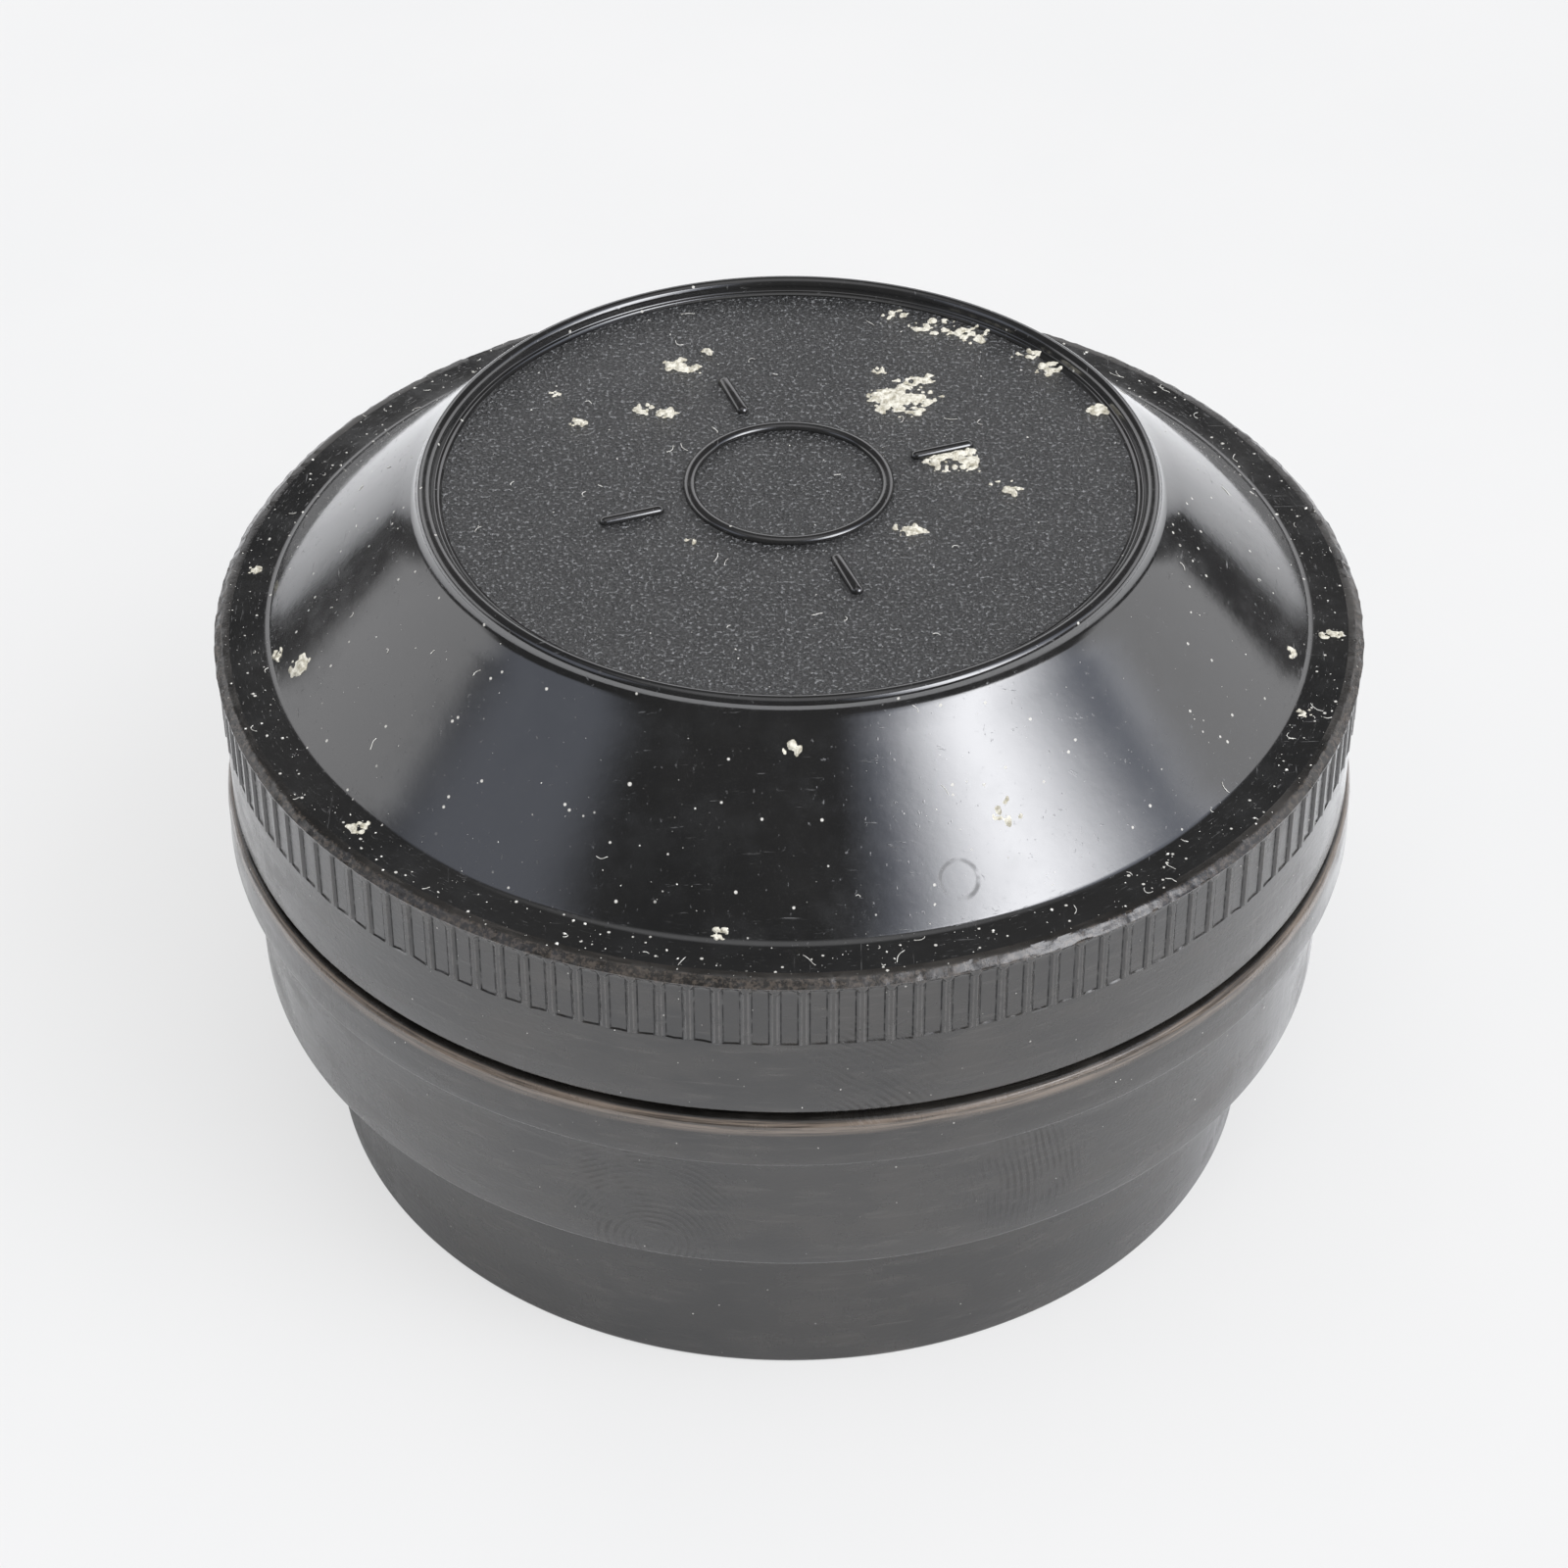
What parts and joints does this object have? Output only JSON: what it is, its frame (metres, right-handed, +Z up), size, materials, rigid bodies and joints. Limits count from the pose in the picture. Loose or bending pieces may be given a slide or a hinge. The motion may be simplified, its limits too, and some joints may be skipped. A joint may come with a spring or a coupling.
{
  "type": "screw-lid lens keeper case",
  "caption": "Round two-part black phenolic case with a knurled, cone-topped screw lid and a bayonet seat inside for a lens or eyepiece.",
  "frame": {"origin": "centre of the flat face under the base, which the closed case stands on", "axes": "+Z up along the axis of the case, through the lid; X and Y point through the sides"},
  "size_m": [0.0732, 0.0732, 0.0473],
  "materials": {
    "base_resin": "black phenolic resin, satin from handling",
    "lid_resin": "black phenolic resin, polished on the cone, grained on the panel",
    "felt": "dark green felt",
    "card": "grey-brown card",
    "spring_steel": "spring steel, satin",
    "chromed_brass": "satin chrome on brass",
    "screw_steel": "nickel-plated steel"
  },
  "bodies": {
    "base": {"base_cup": "base_resin", "base_felt_pad": "felt", "seat_spring": "spring_steel", "seat_ring": "chromed_brass", "seat_screw_1": "screw_steel", "seat_screw_2": "screw_steel", "seat_screw_3": "screw_steel", "seat_screw_4": "screw_steel"},
    "lid_carrier": {"lid_liner_felt": "felt"},
    "lid_riser": {"lid_liner_card": "card"},
    "lid": {"lid_shell": "lid_resin"}
  },
  "joints": [
    {"name": "lid_lift_off", "type": "slide", "parent": "base", "child": "lid_carrier", "axis": [0, 0, 1], "range_m": [0, 0.045]},
    {"name": "lid_rise", "type": "slide", "parent": "lid_carrier", "child": "lid_riser", "axis": [0, 0, 1], "range_m": [0, 0.0045]},
    {"name": "lid_turn", "type": "hinge", "parent": "lid_riser", "child": "lid", "pos_m": [0, 0, 0.03], "axis": [0, 0, 1], "range_deg": [0, 540]}
  ],
  "couplings": [
    {"joint": "lid_rise", "follows": "lid_turn", "m_per_rad": 0.00047746}
  ]
}
